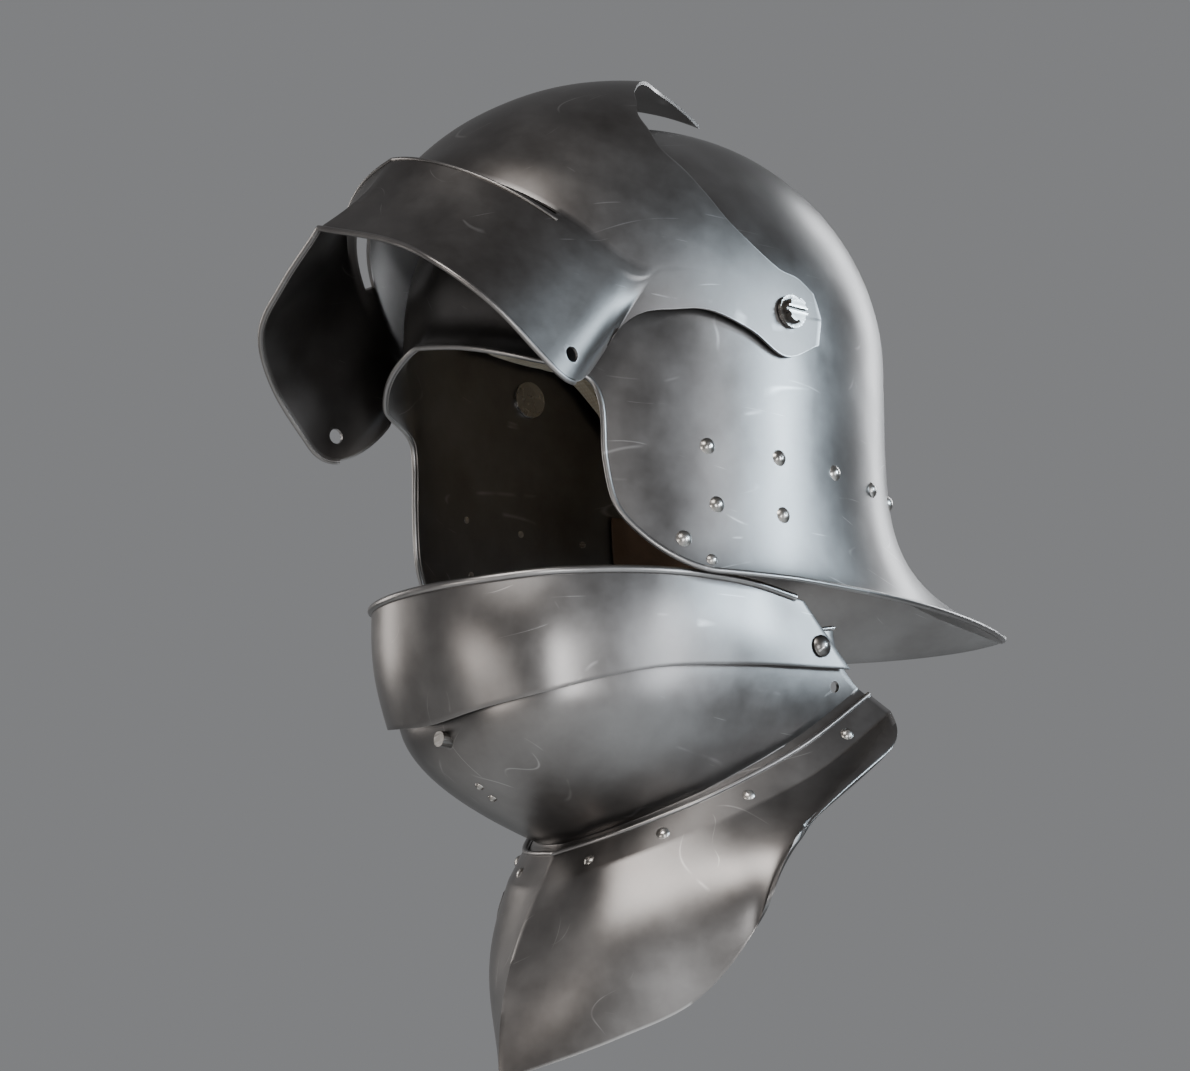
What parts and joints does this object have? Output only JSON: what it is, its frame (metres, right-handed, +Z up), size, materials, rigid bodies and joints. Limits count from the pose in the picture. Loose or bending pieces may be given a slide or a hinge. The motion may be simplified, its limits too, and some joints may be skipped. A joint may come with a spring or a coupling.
{
  "type": "knight helmet",
  "caption": "Steel sallet with a raised pivoting visor, worn over a falling bevor with a chin plate and a gorget plate.",
  "frame": {"origin": "middle of the neck opening of the bevor", "axes": "+Z up, the helmet faces -Y, its left side is +X"},
  "size_m": [0.233, 0.4816, 0.5335],
  "materials": {
    "plate_steel": "satin dark steel",
    "visor_steel": "satin dark steel",
    "rivet_steel": "worn steel",
    "fitting_steel": "worn dark steel",
    "lining_leather": "worn brown leather",
    "liner_linen": "quilted linen"
  },
  "bodies": {
    "bevor": {"chin_plate": "plate_steel", "lame_stud_left": "fitting_steel", "lame_stud_right": "fitting_steel", "stud_burrs": "fitting_steel", "catch_spring": "fitting_steel", "catch_rivets": "rivet_steel", "flange_rivets": "rivet_steel", "gorget_plate": "plate_steel"},
    "lame": {"lame": "plate_steel"},
    "catch": {"catch_button": "fitting_steel"},
    "sallet": {"skull": "plate_steel", "pivot_bush_left": "fitting_steel", "pivot_bush_right": "fitting_steel", "pivot_screw_left": "fitting_steel", "pivot_screw_right": "fitting_steel", "pivot_washer_left": "fitting_steel", "pivot_washer_right": "fitting_steel", "lining_rivets": "rivet_steel", "strap_rivets": "rivet_steel", "cheek_studs": "rivet_steel", "lining_band": "lining_leather", "liner": "liner_linen"},
    "visor": {"visor": "visor_steel"}
  },
  "joints": [
    {"name": "sallet_lift", "type": "slide", "parent": "bevor", "child": "sallet", "axis": [0, 0, 1], "range_m": [0, 0.15]},
    {"name": "visor_pivot", "type": "hinge", "parent": "sallet", "child": "visor", "pos_m": [0, 0, 0.25], "axis": [1, 0, 0], "range_deg": [0, 35]},
    {"name": "lame_fall", "type": "hinge", "parent": "bevor", "child": "lame", "pos_m": [0, 0.029, 0.082], "axis": [1, 0, 0], "range_deg": [0, 14]},
    {"name": "catch_press", "type": "slide", "parent": "bevor", "child": "catch", "axis": [0, 1, 0], "range_m": [0, 0.0035], "stiffness_N_per_m": 800}
  ]
}
